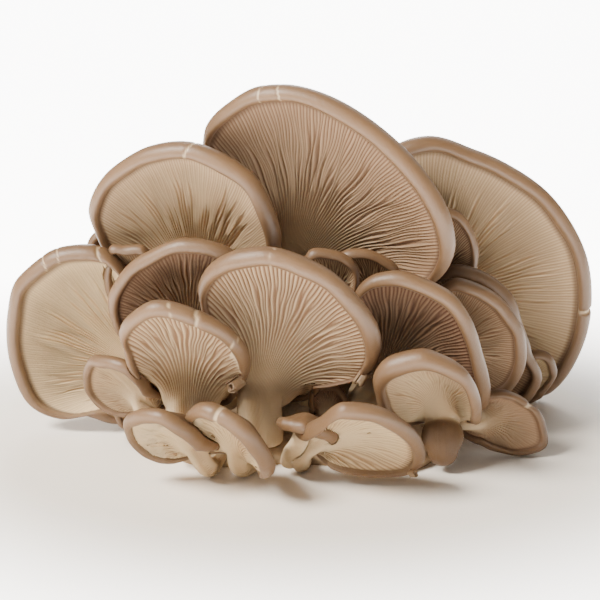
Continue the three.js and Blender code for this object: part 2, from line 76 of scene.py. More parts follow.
# ---- Floor: one sheet of matt white paper that lies flat under the cluster and sweeps up behind it.
# It has a very faint tooth, which keeps its white from looking like plastic. Away from the cluster it
# glows with painted light, which stands in for paper lit until it is pure white, so that the lamps' shade
# shows only near it; its warm beige is painted warm light bounced into that shade.
PAPER_LENGTH = 7
PAPER_WIDTH = 12
PAPER_FLAT = 3.2  # length that lies on the floor
PAPER_FRONT = 1.6  # from its front edge to the cluster
PAPER_BEND = 1.2  # radius of the sweep
# painted warm bounce light: the paper's beige stands in for warm light bounced into the shade round the
# cluster
PAPER_DARK = (0.93, 0.855, 0.75)
PAPER_LIGHT = (0.96, 0.89, 0.79)
GLOW_STRETCH = (1, 1.2, 0.6)  # how fast the glow grows to the side, in depth and upwards
GLOW_START, GLOW_FULL = 0.11, 0.33  # metres from the cluster
GLOW_SIDE_FULL, GLOW_SIDE_END = 0.4, 0.7  # metres to either side


class Flow:
    """A value or colour on its way from one node to the next, with sums written as plain maths."""

    def __init__(self, finish, socket):
        self.finish = finish
        self.socket = socket

    def maths(self, operation, *values, clamp=False):
        settings = {"operation": operation, "use_clamp": clamp}
        return self.finish.node("ShaderNodeMath", settings, dict(enumerate(values)))

    def __add__(self, other):
        return self.maths("ADD", self, other)

    def __radd__(self, other):
        return self.maths("ADD", other, self)

    def __sub__(self, other):
        return self.maths("SUBTRACT", self, other)

    def __rsub__(self, other):
        return self.maths("SUBTRACT", other, self)

    def __mul__(self, other):
        return self.maths("MULTIPLY", self, other)

    def __rmul__(self, other):
        return self.maths("MULTIPLY", other, self)

    def __abs__(self):
        return self.maths("ABSOLUTE", self)

    def kept(self):
        """Held between 0 and 1."""
        return self.maths("ADD", self, 0, clamp=True)


class Finish:
    """A material made of nodes. Its node method adds any node and gives the flow out of it."""

    def __init__(self, name):
        self.material = bpy.data.materials.new(name)
        self.material.use_nodes = True
        self.tree = self.material.node_tree
        self.tree.nodes.clear()

    def node(self, kind, settings, inputs, output=0):
        made = self.tree.nodes.new(kind)
        for name, value in settings.items():
            setattr(made, name, value)
        for name, value in inputs.items():
            if isinstance(value, Flow):
                self.tree.links.new(value.socket, made.inputs[name])
            else:
                made.inputs[name].default_value = value
        return Flow(self, made.outputs[output]) if len(made.outputs) else None

    def place(self):
        return self.node("ShaderNodeTexCoord", {}, {}, "Object")

    def attribute(self, name):
        return self.node("ShaderNodeAttribute", {"attribute_name": name}, {}, "Fac")

    def noise(self, where, scale, detail=3, rough=0.5):
        inputs = {"Vector": where, "Scale": scale, "Detail": detail, "Roughness": rough}
        return self.node("ShaderNodeTexNoise", {}, inputs, "Fac")

    def vector(self, operation, *values, output="Vector"):
        settings = {"operation": operation}
        return self.node("ShaderNodeVectorMath", settings, dict(enumerate(values)), output)

    def eased(self, value, start, end):
        """0 at the start, 1 at the end, and smooth between them."""
        settings = {"interpolation_type": "SMOOTHSTEP"}
        inputs = {"Value": value, "From Min": start, "From Max": end}
        return self.node("ShaderNodeMapRange", settings, inputs)

    def blend(self, share, first, second):
        """The second colour over the first, where colours are Flows or plain triples."""
        both = [colour if isinstance(colour, Flow) else (*colour, 1) for colour in (first, second)]
        settings = {"data_type": "RGBA"}
        return self.node("ShaderNodeMix", settings, {0: share, 6: both[0], 7: both[1]}, 2)

    def surface(self, inputs):
        shader = self.node("ShaderNodeBsdfPrincipled", {}, inputs, "BSDF")
        self.node("ShaderNodeOutputMaterial", {}, {"Surface": shader})
        return self.material


bpy.ops.object.select_all(action="DESELECT")
bpy.ops.mesh.primitive_grid_add(x_subdivisions=2, y_subdivisions=60, size=1)
paper = bpy.context.object
paper.name = "paper_sweep"
for vertex in paper.data.vertices:
    run = (vertex.co.y + 0.5) * PAPER_LENGTH
    bend = min(max((run - PAPER_FLAT) / PAPER_BEND, 0), math.pi / 2)
    rest = max(run - PAPER_FLAT - PAPER_BEND * math.pi / 2, 0)
    vertex.co = (
        vertex.co.x * PAPER_WIDTH,
        min(run, PAPER_FLAT) - PAPER_FRONT + PAPER_BEND * math.sin(bend),
        PAPER_BEND * (1 - math.cos(bend)) + rest,
    )
bpy.ops.object.shade_smooth()
white_paper = Finish("white_paper")
on_paper = white_paper.place()
paper_tone = white_paper.blend(white_paper.noise(on_paper, 900), PAPER_DARK, PAPER_LIGHT)
stretched = white_paper.vector("MULTIPLY", on_paper, GLOW_STRETCH)
far_off = white_paper.vector("LENGTH", stretched, output="Value")
aside = abs(white_paper.node("ShaderNodeSeparateXYZ", {}, {0: on_paper}, "X"))
# painted light: the paper glows more the further it lies from the cluster
painted_glow = white_paper.eased(far_off, GLOW_START, GLOW_FULL)
painted_glow = painted_glow * white_paper.eased(aside, GLOW_SIDE_END, GLOW_SIDE_FULL)
paper.data.materials.append(
    white_paper.surface(
        {
            "Base Color": paper_tone,
            "Roughness": 0.75,
            "Specular IOR Level": 0.2,
            "Emission Color": white_paper.blend(painted_glow, (0, 0, 0), (1, 1, 1)),
            "Emission Strength": 9.0,
        }
    )
)

# ---- Front row: four small mushrooms that grew low out of the front of the base, one with torn gills,
# one folded on itself, a button whose gill side is still turned away, and a wide fan that lies back.
# Each is grown in one piece: stem, gills that run down onto it, a fat rolled rim and the cap's skin.
MM = 0.001
DEGREE = math.pi / 180
PRESS = 0.3  # clear distance between two mushrooms that press on each other
FLOOR_EASE = 0.6  # height over which what hangs lowest is lifted off the floor
BOWL = 30  # degrees that the gills and the cap top rise towards the margin
SLIM_ROLL = 1.6  # radius of the rolled rim at the stem side
SLIM_CURL = 70  # degrees that the rim curls in at the stem side
LIP = 20  # degrees that the gills end further in than the rim curls
GILL_END = 0.3  # share of the rim's radius at which the gills meet the rim
GILL_START = 0.35  # share of a gill's length over which it still runs the stem's way
GILL_FINISH = 0.4  # share of a gill's length over which it already runs the margin's way
GILL_ROOM = 1.1  # most height of a gill, against the distance to the gills beside it
GILL_SLIMNESS = 12  # least length of a gill, against its height
GILL_CROWD = 1.3  # how much closer together the rows of a gill stand towards the rim
FORK_RISE = 0.15  # share of a gill's length over which a short gill rises to its full height
WAVE_GAP = 1.5  # widest gap that still counts for how far gills waver
TEAR_EASE = 0.04  # share of a gill's length over which the torn part starts
GROOVE_START, GROOVE_EASE = 0.955, 0.035  # where the painted shade in the groove under the rim starts along a gill
STEM_GILL_ROOM = 1.2  # most height of a gill where it runs down the stem, against the space it has
STEM_FIBRE = 0.12  # height of the fibres that run up the stem
STEM_EDGE = 0.6  # mark of the plain stem, between gill gap (0) and gill edge (1)
STEM_PULL = 0.36  # share of the stem's length over which it still runs the root's way
TIP_ROWS = 4
RIM_LUMPS = 0.05  # how uneven the rim's roll is
CRACK_STRAY = 0.9  # degrees that a crack strays on its way across the rim
CAP_DOME = 0.35  # share of the cap top's length that rises straight from the rim
MARGIN_WEIGHT = 0.8  # how evenly the columns stand round a cap, 0 for evenly along its margin
MARGIN_BLEND = 2  # distance over which the margin eases into its least reach
MARGIN_WAVER = 0.25  # how far the margin strays in and out
# The last mark paints shade in the groove under the rim, and low edge marks paint shade in the gaps
# between gills.
MARKS = ("skin", "edge", "stem", "torn", "groove_shade")  # what the finish of each point is blended by

# A small mushroom, in mm and degrees. Angles go round the cap, 0 at its long side and 180 at its stem
# side, positive to the right as seen from the gill side. It gives:
# - the number of gills, and the rows along the stem, the gills, the rim and the cap top;
# - the height of a gill, the radius of the rolled rim and the degrees that it curls in (curl);
# - the flesh over the hub, the radius of the collar where the gills start, its distance down the stem
#   (neck), the radius of the foot, and how much the stem is swollen half way up (belly);
# - the degrees between the stem and the way the cap faces (slope), and how strongly the stem leaves its
#   root upwards (upwards, below 0 for a stem that droops first);
# - how far the margin stands out from the collar at least, in rim radii (clear);
# - how far it stands out of the hub's plane at the cap's long side (cup) and at its stem side (heel), and
#   how early it falls from the one to the other (fall);
# - the shares of a gill's length between which short gills start (forks), and how far gills waver, against
#   the gap beside them (wave);
# - the cracks across the rim, each with its angle, width and depth;
# - the stretch of torn gills, with its two angles and the share of their length that is torn (ragged);
# - the torn flaps of the margin that have rolled up, each with its middle, axis, radius and width;
# - how much skin the stem has (stem_skin), the length of its rounded tip against the foot's radius (tip),
#   and how fat the rim is at angles round the cap, against its roll (fatness);
# - how pale the gills are (tone), partly their own colour and partly painted shade where a
#   cap's gills lie in shade, and how little darker the painted shade in the gaps between them is (soft).
SMALL = {
    "gills": 48, "stem_rows": 8, "gill_rows": 16, "rim_rows": 12, "top_rows": 8, "gill_height": 1,
    "roll": 2.8, "curl": 112, "flesh": 5, "collar": 3.6, "neck": 4.5, "foot": 3.8, "belly": 0,
    "slope": 55, "upwards": 1, "clear": 2, "cup": 7, "heel": -7, "fall": 2, "forks": (0.35, 0.8),
    "wave": 0.25, "cracks": (), "ragged": None, "flaps": (), "stem_skin": 0, "tip": 0.4,
    "fatness": ((0, 1), (180, 1)), "tone": 0.5, "soft": 0,
}
# The plainer form in which a mushroom's room is kept clear of the mushrooms that grow after it.
ROOM = {
    "gills": 48, "stem_rows": 6, "gill_rows": 9, "rim_rows": 8, "top_rows": 5, "cracks": (),
    "ragged": None,
}


def mix(low, high, t):
    return low + (high - low) * t


def smooth(t):
    t = np.clip(t, 0, 1)
    return t * t * (3 - 2 * t)


def at_least(wanted, least, ease):
    """What is wanted, eased up to the least where it falls short of it."""
    return 0.5 * (wanted + least + np.hypot(wanted - least, ease))


def read_round(pairs, angles):
    """Reads a value off a closed list of (angle, value) pairs, as a smooth line that never overshoots."""
    pairs = sorted((angle % 360, value) for angle, value in pairs)
    at = np.array([angle for angle, value in pairs], float)
    values = np.array([value for angle, value in pairs], float)
    at = np.concatenate([at[-2:] - 360, at, at[:2] + 360])
    values = np.concatenate([values[-2:], values, values[:2]])
    slope = np.diff(values) / np.diff(at)
    product = slope[:-1] * slope[1:]
    total = np.where(product > 0, slope[:-1] + slope[1:], 1)
    steep = np.concatenate([[0], np.where(product > 0, 2 * product / total, 0), [0]])
    angles = np.asarray(angles, float) % 360
    i = np.searchsorted(at, angles, side="right") - 1
    span = at[i + 1] - at[i]
    t = (angles - at[i]) / span
    bend = span * t * (1 - t) * (steep[i] * (1 - t) - steep[i + 1] * t)
    return mix(values[i], values[i + 1], t * t * (3 - 2 * t)) + bend


def waver(seed, angles, waves):
    """A smooth uneven line round the cap, between about -1 and 1."""
    draw = np.random.default_rng(seed)
    turns = np.radians(angles)
    return sum(np.sin(k * turns + draw.uniform(0, 6.28)) for k in waves) / len(waves) ** 0.7


def unit(vectors):
    """The same ways, each one long."""
    return vectors / np.linalg.norm(vectors, axis=-1, keepdims=True)


def sweep(handles, t):
    """A point and the way on, at t along the curve of each column's four handles."""
    a, b, c, d = handles
    at = (1 - t) ** 3 * a + 3 * (1 - t) ** 2 * t * b + 3 * (1 - t) * t * t * c + t**3 * d
    way = (1 - t) ** 2 * (b - a) + 2 * (1 - t) * t * (c - b) + t * t * (d - c)
    return at, way


def far_share(angles):
    """How far round a column is from the stem side, 0, towards the cap's long side, 1."""
    return 0.5 + 0.5 * np.cos(angles * DEGREE)


def roll_at(form, angles):
    """The radius of the rolled rim, which is slimmer on the stem side."""
    return mix(min(SLIM_ROLL, form["roll"]), form["roll"], np.minimum(1, 2 * far_share(angles)))


def reach_at(form, angles):
    """The reach of the margin, which stands clear of the collar however short the cap is on that side."""
    slope = form["slope"] * DEGREE
    stem_side = np.maximum(0, -np.cos(angles * DEGREE))
    set_back = form["neck"] * math.sin(slope) - form["collar"] * (1 - math.cos(slope / 2))
    least = np.maximum(0, form["collar"] + stem_side * set_back) + form["clear"] * roll_at(form, angles)
    return at_least(read_round(form["reach"], angles), least, MARGIN_BLEND)


def column_angles(form, count):
    """The angles of the columns round a cap, closer together where the margin is long."""
    degrees = np.arange(361.0)
    evenly = MARGIN_WEIGHT * np.mean([reach for angle, reach in form["reach"]])
    total = np.concatenate([[0], np.cumsum(reach_at(form, degrees[:-1]) + evenly)])
    return np.interp(total[-1] * np.arange(count) / count, total, degrees)


def stem_rings(form, growth, out):
    """The middles, turns and radii of the stem's rings, on a curve from its root up to the collar."""
    root = Vector(form["root"])
    hub = Vector(form["hub"])
    collar = hub - Vector(growth) * form["neck"]
    root_way = ((hub - root).normalized() + Vector((0, 0, form["upwards"]))).normalized()
    pull = STEM_PULL * (collar - root).length
    handles = (root, root + root_way * pull, collar - Vector(growth) * pull, collar)
    handles = [np.array(handle) for handle in handles]
    heading = Vector(-out)
    turn = Quaternion()
    rings = []
    for row in range(form["stem_rows"], -1, -1):
        t = row / form["stem_rows"]
        middle, way = sweep(handles, t)
        onward = (Vector(way).normalized() - Vector(out) * t**3).normalized()
        turn = heading.rotation_difference(onward) @ turn
        heading = onward
        radius = mix(form["foot"], form["collar"], smooth(t)) + form["belly"] * math.sin(math.pi * t)
        rings.insert(0, (middle, np.array(turn.to_matrix()), radius))
    return rings, np.array(root_way)


class MushroomRows:
    """The points of one mushroom in rows, from the tip of the stem over the gills and rim to the crown.

    With each point go its marks: how much it is skin, gill edge (low marks paint shade in the gaps between
    gills), stem, torn flesh and painted shade in the groove under the rim. Every fourth column is the edge
    of a full gill, and half way to the next one starts a short gill, each at its own distance. A filled
    mushroom has no gaps between its gills.
    """

    def __init__(self, form, seed, filled):
        self.form = form
        self.seed = seed
        self.filled = filled
        self.rows = []
        self.marks = []

        turn, tilt, lean = (angle * DEGREE for angle in form["face"])
        self.hub = np.array(form["hub"], float)
        self.out = np.array(
            [math.sin(turn) * math.cos(tilt), -math.cos(turn) * math.cos(tilt), math.sin(tilt)]
        )
        level = np.array([math.cos(turn), math.sin(turn), 0])
        up = np.cross(self.out, level)
        along = up * math.cos(lean) + level * math.sin(lean)
        across = level * math.cos(lean) - up * math.sin(lean)
        slope = form["slope"] * DEGREE
        self.growth = along * math.sin(slope) - self.out * math.cos(slope)

        self.count = form["gills"] * (2 if filled else 4)
        self.angles = column_angles(form, self.count)
        draw = np.random.default_rng(seed)
        starts = draw.uniform(*form["forks"], self.count // 4 + 1)
        self.starts = np.repeat(starts, 4)[: self.count]
        turns = self.angles * DEGREE
        self.ray = along * np.cos(turns)[:, None] + across * np.sin(turns)[:, None]
        self.far = far_share(self.angles)[:, None]
        self.rise = BOWL * DEGREE * self.far
        self.rising = self.ray * np.cos(self.rise) + self.out * np.sin(self.rise)
        curl = mix(SLIM_CURL, form["curl"], np.minimum(1, 1.5 * self.far)) * DEGREE
        self.lip = curl + LIP * DEGREE
        fatness = read_round(form["fatness"], self.angles)[:, None]
        lumps = 1 + RIM_LUMPS * waver(seed + 1, self.angles, (4, 7, 11, 17))[:, None]
        self.roll = roll_at(form, self.angles)[:, None] * fatness * lumps
        uneven = waver(seed, self.angles, (3, 5, 8, 13))[:, None]
        self.reach = reach_at(form, self.angles)[:, None] + MARGIN_WAVER * uneven
        self.cup = mix(form["heel"], form["cup"], 1 - (1 - self.far) ** form["fall"])

    def add(self, points, skin, edge, stem=0, torn=0, groove_shade=0):
        """Adds a row of points and their marks."""
        marks = (skin, edge, stem, torn, groove_shade)
        marks = [np.broadcast_to(np.ravel(mark), self.count) for mark in marks]
        self.rows.append(points)
        self.marks.append(np.stack(marks, 1))

    def on_rim(self, around, share):
        """Points round the rim's roll, at a share of its radius."""
        return (
            self.hub
            + self.ray * (self.reach - self.roll + share * self.roll * np.cos(around))
            + self.out * (self.cup + share * self.roll * np.sin(around))
        )

    def gill_wave(self, t):
        """Gill edges (1) and the gaps between them (-1) for each column."""
        if self.filled:
            return np.ones(self.count)
        column = np.arange(self.count)
        plain = np.array([1, -0.5, -1, -0.5])[column % 4]
        forked = np.array([1, -1, 0.6, -1])[column % 4]
        return mix(plain, forked, smooth((t - self.starts) / FORK_RISE))

    def grow_stem(self):
        """The stem has a rounded tip, and fine ribs where the gills run down onto it."""
        form = self.form
        rings, root_way = stem_rings(form, self.growth, self.out)
        middle, turned, radius = rings[0]
        tip = middle - root_way * form["tip"] * form["foot"]
        self.add(np.broadcast_to(tip, self.ray.shape), form["stem_skin"], STEM_EDGE, 1)
        for row in range(1, TIP_ROWS):
            lean_in = 0.5 * math.pi * row / TIP_ROWS
            spread = (self.ray @ turned.T) * (radius * math.sin(lean_in))
            below = form["tip"] * form["foot"] * math.cos(lean_in)
            self.add(middle + spread - root_way * below, form["stem_skin"], STEM_EDGE, 1)
        gill_space = STEM_GILL_ROOM * (2 * math.pi * form["collar"] / form["gills"])
        ribs = self.gill_wave(-1)
        fibre = STEM_FIBRE * waver(self.seed + 2, self.angles, (9, 14, 23, 31))
        for row, (middle, turned, radius) in enumerate(rings):
            t = row / form["stem_rows"]
            depth = 0.5 * min(form["gill_height"], gill_space) * smooth((t + 0.25) / 0.8)
            proud = radius + depth * ribs + fibre * (1 - smooth(t))
            # painted shade in the gaps between the ribs, as in the gaps between the gills
            edge = mix(STEM_EDGE, 0.5 + 0.5 * ribs, smooth(1.5 * t))
            skin = form["stem_skin"] * (1 - smooth((t - 0.75) / 0.25))
            self.add(middle + (self.ray @ turned.T) * proud[:, None], skin, edge, 1 - 0.4 * t**2)
        return middle + (self.ray @ turned.T) * radius

    def torn_gills(self):
        """How ragged each column's gill is, and how far in from the rim it is torn."""
        if not self.form["ragged"]:
            return np.zeros(self.count), 0
        start, end, inwards = self.form["ragged"]
        away = np.abs((self.angles - 0.5 * (start + end) + 180) % 360 - 180)
        shreds = waver(self.seed + 5, self.angles, (11, 19, 31, 47, 61))
        return smooth((0.5 * (end - start) - away) / 5), inwards * (1 + 0.4 * shreds)

    def grow_gills(self, collar):
        """The gills sweep from the collar out to the curl of the rim and waver on the way."""
        form = self.form
        leaving = unit(self.growth * self.far + self.ray * (1 - self.far))
        edge = self.on_rim(self.lip, GILL_END)
        length = np.linalg.norm(edge - collar, axis=1)[:, None]
        start_handle = collar + leaving * GILL_START * length
        end_handle = edge - self.rising * GILL_FINISH * length
        handles = (collar, start_handle, end_handle, edge)
        drift = waver(self.seed + 3, self.angles, (5, 9, 14, 20))
        ragged, inwards = self.torn_gills()
        for row in range(1, form["gill_rows"] + 1):
            t = 1 - (1 - row / form["gill_rows"]) ** GILL_CROWD
            points, way = sweep(handles, t)
            beside = np.roll(points, -2, 0) - np.roll(points, 2, 0)
            gap = np.linalg.norm(beside, axis=1)
            normal = -unit(np.cross(way, beside))
            wave = self.gill_wave(t)
            height = np.minimum(form["gill_height"], GILL_ROOM * gap)
            height = 0.5 * np.minimum(height, length[:, 0] / GILL_SLIMNESS) * (1 - t**12)
            if not self.filled:
                swing = form["wave"] * smooth((t - 0.3) / 0.4) * (1 - t**6) * np.sin(17 * t + 5 * drift)
                points = points + unit(beside) * (swing * np.minimum(WAVE_GAP, gap))[:, None]
            loose = ragged * smooth((t - 1 + inwards) / TEAR_EASE)
            lift = loose * 0.5 * np.abs(waver(self.seed + row, self.angles, (23, 37, 53)))
            points = points + normal * (height * wave + lift)[:, None]
            # painted shade in the groove under the rim, where the gills end
            groove_shade = smooth((t - GROOVE_START) / GROOVE_EASE) * (1 - loose)
            self.add(points, 0, 0.5 + 0.5 * wave, 0.6 * (1 - t) ** 1.5, loose, groove_shade)

    def cracks_at(self, t):
        """How deep each column of the rim is cracked at t round its roll, and how torn it looks there."""
        crack = np.zeros(self.count)
        torn = np.zeros(self.count)
        for at, width, depth in self.form["cracks"]:
            astray = at + CRACK_STRAY * math.sin(5 * t + at)
            away = ((self.angles - astray + 180) % 360 - 180) * DEGREE * self.reach[:, 0]
            notch = np.exp(-((away / (0.5 * width)) ** 2))
            crack += depth * notch
            torn = np.maximum(torn, 0.6 * smooth(2 * notch - 0.7))
        return crack, torn

    def grow_rim(self):
        """The rim rolls over from the ends of the gills to the cap top, with cracks across it."""
        for row in range(self.form["rim_rows"] + 1):
            t = row / self.form["rim_rows"]
            crack, torn = self.cracks_at(t)
            fading = math.sin(math.pi * t) ** 0.5
            around = mix(self.lip, self.rise - 0.5 * math.pi, t)
            share = mix(GILL_END, 1, np.sin(0.5 * math.pi * min(1, 4 * t)))
            share = share - (crack / self.roll[:, 0])[:, None] * fading
            points = self.on_rim(around, share)
            # painted shade under the rim where it starts from the gills
            self.add(points, smooth(4.5 * t), 0.5, 0, torn * fading, 1 - smooth(3.2 * t))

    def grow_top(self):
        """The cap top closes over the hub in a low dome."""
        crown = self.hub - self.out * self.form["flesh"]
        back = self.rows[-1]
        length = np.linalg.norm(back - crown, axis=1)[:, None]
        back_handle = back - self.rising * CAP_DOME * length
        crown_handle = crown + self.ray * CAP_DOME * length
        crown = np.broadcast_to(crown, back.shape)
        for row in range(1, self.form["top_rows"]):
            points, _ = sweep((back, back_handle, crown_handle, crown), row / self.form["top_rows"])
            self.add(points, 1, 0.5)
        self.add(crown, 1, 0.5)


def mushroom_rows(form, seed, filled=False):
    """The rows of one mushroom's points and of their marks, with what hangs lowest kept off the floor."""
    mushroom = MushroomRows(form, seed, filled)
    collar = mushroom.grow_stem()
    mushroom.grow_gills(collar)
    mushroom.grow_rim()
    mushroom.grow_top()
    rows = np.array(mushroom.rows)
    rows[..., 2] = at_least(rows[..., 2], 0, FLOOR_EASE)
    return rows, np.array(mushroom.marks)


plain_balls = {}  # one ball of each count of segments and rings, which the mushrooms are copied from


def ball_of_rows(name, rows):
    """A ball with as many rings and segments as there are rows and columns, drawn onto the rows' points.

    With it comes the row and the column that each of its points took.
    """
    segments, rings = rows.shape[1], rows.shape[0] - 1
    if (segments, rings) not in plain_balls:
        bpy.ops.object.select_all(action="DESELECT")
        bpy.ops.mesh.primitive_uv_sphere_add(segments=segments, ring_count=rings)
        plain_balls[segments, rings] = bpy.context.object
    ball = plain_balls[segments, rings].copy()
    ball.data = ball.data.copy()
    bpy.context.collection.objects.link(ball)
    ball.name = name
    ball.data.name = name
    flat = np.empty(3 * len(ball.data.vertices))
    ball.data.vertices.foreach_get("co", flat)
    x, y, z = flat.reshape(-1, 3).T
    ring = rings - np.rint(np.arccos(np.clip(z, -1, 1)) / math.pi * rings).astype(int)
    column = np.rint(np.arctan2(y, x) / (2 * math.pi) * segments).astype(int) % segments
    ball.data.vertices.foreach_set("co", (rows[ring, column] * MM).ravel())
    ball.data.update()
    return ball, (ring, column)


def swollen(rows, distance):
    """The same rows pushed out all over."""
    down = np.diff(rows, axis=0, prepend=rows[:1]) + np.diff(rows, axis=0, append=rows[-1:])
    beside = np.roll(rows, -1, 1) - np.roll(rows, 1, 1)
    normal = np.cross(beside, down)
    size = np.linalg.norm(normal, axis=2, keepdims=True)
    return rows + distance * normal / np.maximum(size, 1e-9)


def join_solid(body, other, operation):
    """Cuts the other solid from the body, or fuses it on, and applies that at once."""
    modifier = body.modifiers.new("join", "BOOLEAN")
    modifier.operation = operation
    modifier.solver = "MANIFOLD"
    modifier.object = other
    bpy.context.view_layer.objects.active = body
    bpy.ops.object.modifier_apply(modifier="join")


def keep_largest(body):
    """Takes away the loose scraps that a cut has left beside the body."""
    name = body.name
    bpy.ops.object.select_all(action="DESELECT")
    body.select_set(True)
    bpy.ops.object.mode_set(mode="EDIT")
    bpy.ops.mesh.select_all(action="SELECT")
    bpy.ops.mesh.separate(type="LOOSE")
    bpy.ops.object.mode_set(mode="OBJECT")
    parts = sorted(bpy.context.selected_objects, key=lambda part: len(part.data.vertices))
    body = parts.pop()
    for part in parts:
        bpy.data.objects.remove(part)
    body.name = name
    return body


def write_mark(mesh, name, values):
    """Gives every point of a mesh its own value of a mark, or all of them the same one."""
    values = np.full(len(mesh.vertices), values, np.float32)
    mesh.attributes.new(name, "FLOAT", "POINT").data.foreach_set("value", values)


def mark_cut_points(mesh, before):
    """New points along a pressed edge take the marks of the nearest point that was grown."""
    tree = KDTree(len(before.vertices))
    for i, vertex in enumerate(before.vertices):
        tree.insert(vertex.co, i)
    tree.balance()
    grown = np.empty(len(mesh.vertices), np.float32)
    mesh.attributes["grown"].data.foreach_get("value", grown)
    for i in np.flatnonzero(grown < 1):
        nearest = tree.find(mesh.vertices[i].co)[1]
        for name in MARKS:
            mesh.attributes[name].data[i].value = before.attributes[name].data[nearest].value
    mesh.attributes.remove(mesh.attributes["grown"])


FLAP_TURNS = 1.6
FLAP_INSIDE, FLAP_OUTSIDE = 0.36, 0.92  # where its roll starts and ends, against its radius
FLAP_FLESH = 0.16  # its thickness, against its radius
# the flap carries a little of the painted shade of the groove under the rim
FLAP_MARKS = {"skin": 0.75, "edge": 0.7, "stem": 0.5, "torn": 0, "groove_shade": 0.1, "grown": 1}


def rolled_flap(place, axis, radius, width):
    """A torn flap of the margin that has dried and rolled up, and the plain solid that its room takes."""
    bpy.ops.object.select_all(action="DESELECT")
    bpy.ops.mesh.primitive_grid_add(x_subdivisions=44, y_subdivisions=6, size=2)
    flap = bpy.context.object
    turned = Vector((0, 0, 1)).rotation_difference(Vector(axis))
    for vertex in flap.data.vertices:
        u, v = 0.5 + 0.5 * vertex.co.x, vertex.co.y
        around = 2 * FLAP_TURNS * math.pi * u
        away = radius * mix(FLAP_INSIDE, FLAP_OUTSIDE, u) * (1 + 0.06 * math.sin(5 * around))
        edge = 0.5 * width * v * (1 + 0.16 * math.sin(3 * around + 2 * v))
        local = Vector((away * math.cos(around), away * math.sin(around), edge))
        vertex.co = (Vector(place) + turned @ local) * MM
    for name, value in FLAP_MARKS.items():
        write_mark(flap.data, name, value)
    thickness = flap.modifiers.new("flesh", "SOLIDIFY")
    thickness.thickness = FLAP_FLESH * radius * MM
    thickness.offset = 0
    bpy.ops.object.modifier_apply(modifier="flesh")
    bpy.ops.object.select_all(action="DESELECT")
    bpy.ops.mesh.primitive_cylinder_add(
        vertices=20, radius=(radius + PRESS) * MM, depth=(1.2 * width + 2 * PRESS) * MM,
        location=Vector(place) * MM, rotation=turned.to_euler(),
    )
    bpy.ops.object.transform_apply()
    return flap, bpy.context.object


# Painted shade: the gaps between the gills are dark for the shade in them, and the groove under the rim is
# brown for the shade beneath it.
GAP_SHADE_DARK, GAP_SHADE_PALE = (0.062, 0.021, 0.0085), (0.24, 0.095, 0.033)
EDGE_DARK, EDGE_PALE = (0.25, 0.138, 0.074), (0.66, 0.485, 0.275)
STALK_DARK, STALK_PALE = (0.53, 0.375, 0.21), (0.65, 0.5, 0.315)
TAUPE_DARK, TAUPE_PALE, TAUPE_GRAIN = (0.1, 0.052, 0.022), (0.16, 0.088, 0.04), (0.19, 0.11, 0.056)
GROOVE_SHADE = (0.08, 0.038, 0.017)
TORN_CREAM = (0.6, 0.45, 0.27)


def between(first, second, share):
    """A plain colour that lies between two others."""
    return tuple(mix(a, b, share) for a, b in zip(first, second))


def mushroom_flesh(name, tone, soft):
    """Skin, gills and stem of one mushroom: satin taupe skin with fine fibres, and matt cream flesh, with
    painted shade in the gaps between the gills and in the groove under the rim.
    """
    flesh = Finish("flesh_" + name)
    where = flesh.place()
    skin, edge, stem, torn, groove_shade = (flesh.attribute(mark) for mark in MARKS)
    cloud = flesh.noise(where, 28, 4)
    grain = flesh.noise(where, 420, 4, 0.6)
    speck = flesh.noise(where, 1500, 2)
    # how pale each cap's gills are is partly their own colour and partly painted shade for caps whose
    # gills lie in shade
    gill_edge = between(EDGE_DARK, EDGE_PALE, tone)
    # painted shade in the gaps between the gills
    gap_shade = between(between(GAP_SHADE_DARK, GAP_SHADE_PALE, 0.6 * tone), gill_edge, soft)
    gills = flesh.blend(edge, gap_shade, gill_edge)
    stalk = flesh.blend(cloud, STALK_DARK, STALK_PALE)
    inside = flesh.blend(stem.kept(), gills, stalk)
    taupe = flesh.blend(cloud, TAUPE_DARK, TAUPE_PALE)
    taupe = flesh.blend(grain * 0.35, taupe, TAUPE_GRAIN)
    outside = flesh.blend(skin, inside, taupe)
    # painted shade in the groove under the rim
    outside = flesh.blend(groove_shade * 0.8, outside, GROOVE_SHADE)
    relief = grain * 0.5 + speck * 0.3 + cloud * 1.5
    bump = {"Height": relief, "Strength": 0.35, "Distance": 0.0008}
    inputs = {
        "Base Color": flesh.blend(torn, outside, TORN_CREAM),
        "Roughness": 0.75 - skin * 0.33 + grain * 0.1,
        "Specular IOR Level": 0.5,
        "Subsurface Weight": 0.08,
        "Subsurface Radius": (0.004, 0.002, 0.0012),
        "Subsurface Scale": 1,
        "Normal": flesh.node("ShaderNodeBump", {}, bump),
    }
    return flesh.surface(inputs)


held = None  # the room that the mushrooms grown so far take up


def hold(room):
    """Adds a room to what is held, which the mushrooms that grow later are cut back from."""
    global held
    if held is None:
        held = room
    else:
        join_solid(held, room, "UNION")
        bpy.data.objects.remove(room)


